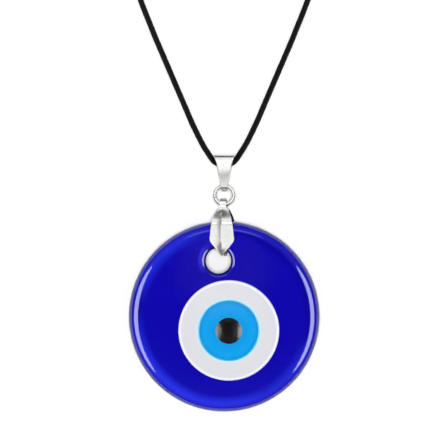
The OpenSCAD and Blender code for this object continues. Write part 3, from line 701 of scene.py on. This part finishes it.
def makeTie(kit):
    place = movedBy(*coilKit["middle"], 0) @ turnedBy(90, "Z")
    corner = kit["corner"]
    left, right = kit["inside"] - kit["off"] + corner, kit["outside"] + kit["off"] - corner
    low, high = kit["low"] - kit["off"] + corner, kit["high"] + kit["off"] - corner
    rows = []
    for y, z, start in ((right, high, 0), (left, high, 90), (left, low, 180), (right, low, 270)):
        for i in range(kit["cornerSteps"] + 1):
            angle = math.radians(start + 90 * i / kit["cornerSteps"])
            way = (math.cos(angle), math.sin(angle))
            rows.append((y + corner * way[0], z + corner * way[1], *way, kit["half"], 0))
    rows.append(rows[0])
    shape = bmesh.new()
    bentStrip(shape, rows, 4, place)
    material = paperTie(kit)
    band = finishPiece("twistTieBand", shape, material, "cord", ["coil_tie"], bevel=0.04,
                       wall=kit["wall"])
    shape = bmesh.new()
    for v in bmesh.ops.create_grid(shape, x_segments=3, y_segments=kit["tailRows"], size=1)["verts"]:
        share = (v.co.y + 1) / 2
        angle = math.tau * kit["twists"] * share
        wide = v.co.x * kit["tailHalf"]
        v.co = place @ (Vector((wide * math.cos(angle), kit["tailStart"] + share * kit["tailLength"],
                                kit["tailHeight"] + wide * math.sin(angle))) * mm)
    tail = finishPiece("twistTieTail", shape, material, "cord", wall=kit["wall"])
    return [band, tail]


tiePieces = makeTie(tieKit)

# floor and light
floorKit = {"size": 6000.0, "paper": ("#fbfbfb", "#fefefe"), "tooth": 0.8, "toothDepth": 0.01}


def makeFloor(kit):
    # matt white paper sweep: even white with a barely visible tooth
    material, tree = newMaterial("mattWhitePaper")
    place = addNode(tree, "TexCoord", out="Object")
    tooth = addNode(tree, "TexNoise", {"Vector": place, "Scale": 1 / (kit["tooth"] * mm), "Detail": 4.0})
    low, high = (linearColour(hexText) for hexText in kit["paper"])
    colour = addNode(tree, "Mix", {0: tooth, 6: low, 7: high}, 2, data_type="RGBA")
    bump = addNode(tree, "Bump", {"Height": tooth, "Distance": kit["toothDepth"] * mm, "Strength": 1.0})
    paper = finishMaterial(material, colour, {"Roughness": 0.9, "Normal": bump})
    shape = bmesh.new()
    bmesh.ops.create_grid(shape, x_segments=4, y_segments=4, size=kit["size"] / 2 * mm)
    mesh = bpy.data.meshes.new("paperFloor")
    shape.to_mesh(mesh)
    shape.free()
    mesh.materials.append(paper)
    floor = bpy.data.objects.new("paperFloor", mesh)
    scene.collection.objects.link(floor)


makeFloor(floorKit)
# the first three panels show only as reflections, in everything but the metal; the others light the metal alone
lightKit = {
    "leftPanel": {"from": (-390, -60, 370), "size": (560, 360), "power": 3.4},
    "rightPanel": {"from": (390, -60, 370), "size": (560, 360), "power": 3.4},
    "topPanel": {"from": (0, 300, 380), "size": (360, 160), "power": 0.16},
    "metalPanelLow": {"from": (0, -92, 600), "size": (900, 270), "power": 0.74},
    "metalPanelMiddle": {"from": (0, 89, 600), "size": (900, 92), "power": 0.1},
    "metalPanelHigh": {"from": (0, 285, 600), "size": (900, 300), "power": 1.0},
    "metalPanelBack": {"from": (0, 520, 400), "size": (900, 240), "power": 0.55},
}
lightAim = Vector((0, 15, 0)) * mm   # where every panel points
# a big diffuser straight above, which shows in no reflection
overheadKit = {"strength": 2.75, "spread": 14.0, "from": (0, 15, 400)}
roomKit = {"shades": [(0.0, "#161616"), (0.12, "#242424"), (0.34, "#8a8a8a"), (0.9, "#767676"), (0.975, "#3a3a3a")]}


def addPanels(kit):
    for name, panel in kit.items():
        light = bpy.data.lights.new(name, "AREA")
        light.shape = "RECTANGLE" if name.startswith("metal") else "ELLIPSE"
        light.size, light.size_y = (side * mm for side in panel["size"])
        light.energy = panel["power"]
        holder = bpy.data.objects.new(name, light)
        holder.location = Vector(panel["from"]) * mm
        holder.visible_camera = False
        holder.rotation_euler = (holder.location - lightAim).to_track_quat("Z", "Y").to_euler()
        scene.collection.objects.link(holder)
        metals = bpy.data.collections.new(f"{name}Metals")
        for piece in scene.objects:
            if piece.type == "MESH" and piece.active_material in metalFinishes:
                metals.objects.link(piece)
        if not name.startswith("metal"):
            holder.visible_diffuse = False   # it lights nothing and shows only as a reflection
            for entry in metals.collection_objects:
                entry.light_linking.link_state = "EXCLUDE"
        holder.light_linking.receiver_collection = metals


def setSurroundings(kit):   # soft grey room: dark overhead round the camera, dark low down, light in between
    world = bpy.data.worlds.new("studio")
    scene.world = world
    world.use_nodes = True
    tree = world.node_tree
    tree.nodes.clear()
    way = addNode(tree, "TexCoord", out="Generated")
    height = addNode(tree, "SeparateXYZ", {0: way}, "Z")
    shade = addNode(tree, "ValToRGB", {"Fac": height}, stops=kit["shades"])
    background = addNode(tree, "Background", {"Color": shade, "Strength": 1.0})
    addNode(tree, "OutputWorld", {"Surface": background})


def addOverhead(kit):
    light = bpy.data.lights.new("overhead", "SUN")
    light.energy = kit["strength"]
    light.angle = math.radians(kit["spread"])
    holder = bpy.data.objects.new("overhead", light)
    holder.location = Vector(kit["from"]) * mm
    holder.visible_glossy = False
    scene.collection.objects.link(holder)


addPanels(lightKit)
addOverhead(overheadKit)
setSurroundings(roomKit)
print("floor and lights set")
